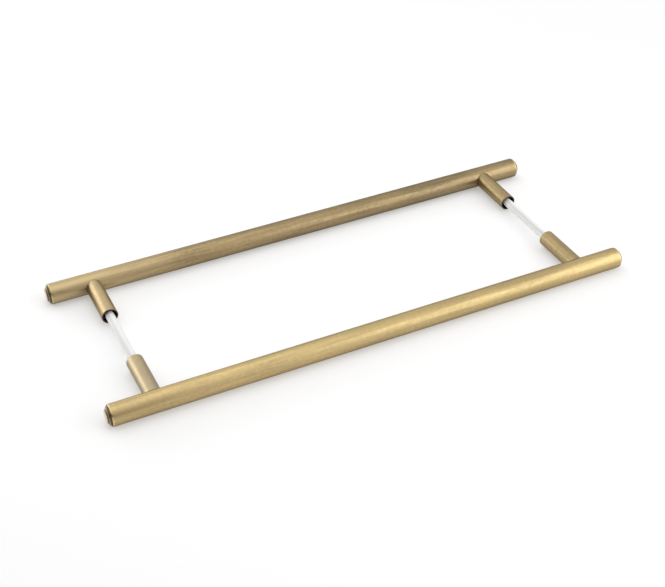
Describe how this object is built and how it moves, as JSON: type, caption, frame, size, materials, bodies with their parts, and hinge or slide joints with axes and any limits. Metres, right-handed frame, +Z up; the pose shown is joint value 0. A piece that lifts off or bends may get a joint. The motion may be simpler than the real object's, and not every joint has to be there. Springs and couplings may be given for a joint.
{
  "type": "ladder pull handle",
  "caption": "Back-to-back ladder pull for a door: round brass bars with stepped end caps on hollow posts, joined through the door by threaded studs in milky sleeves.",
  "frame": {"origin": "middle of the door gap, midway between the two studs, which is the centre of the part's box", "axes": "+X along the bars, +Y along the studs from the front handle through the door to the rear one, +Z up as it lies flat"},
  "size_m": [0.4914, 0.197, 0.019],
  "materials": {
    "antique_brass": "brushed satin, aged",
    "bush_brass": "as turned",
    "zinc_steel": "bright zinc plated",
    "black_steel": "black oxide",
    "milky_plastic": "milky translucent, extruded"
  },
  "bodies": {
    "root": {"front_bar": "antique_brass", "rear_bar": "antique_brass", "front_left_end_cap": "antique_brass", "front_right_end_cap": "antique_brass", "rear_left_end_cap": "antique_brass", "rear_right_end_cap": "antique_brass", "front_left_post": "antique_brass", "front_right_post": "antique_brass", "rear_left_post": "antique_brass", "rear_right_post": "antique_brass", "front_left_bar_nut": "zinc_steel", "front_right_bar_nut": "zinc_steel", "rear_left_bar_nut": "zinc_steel", "rear_right_bar_nut": "zinc_steel", "front_left_stud_bush": "bush_brass", "front_right_stud_bush": "bush_brass", "rear_left_stud_bush": "bush_brass", "rear_right_stud_bush": "bush_brass", "left_stud": "zinc_steel", "right_stud": "zinc_steel", "left_sleeve": "milky_plastic", "right_sleeve": "milky_plastic", "post_screws": "black_steel", "grub_screws": "black_steel"}
  },
  "joints": []
}
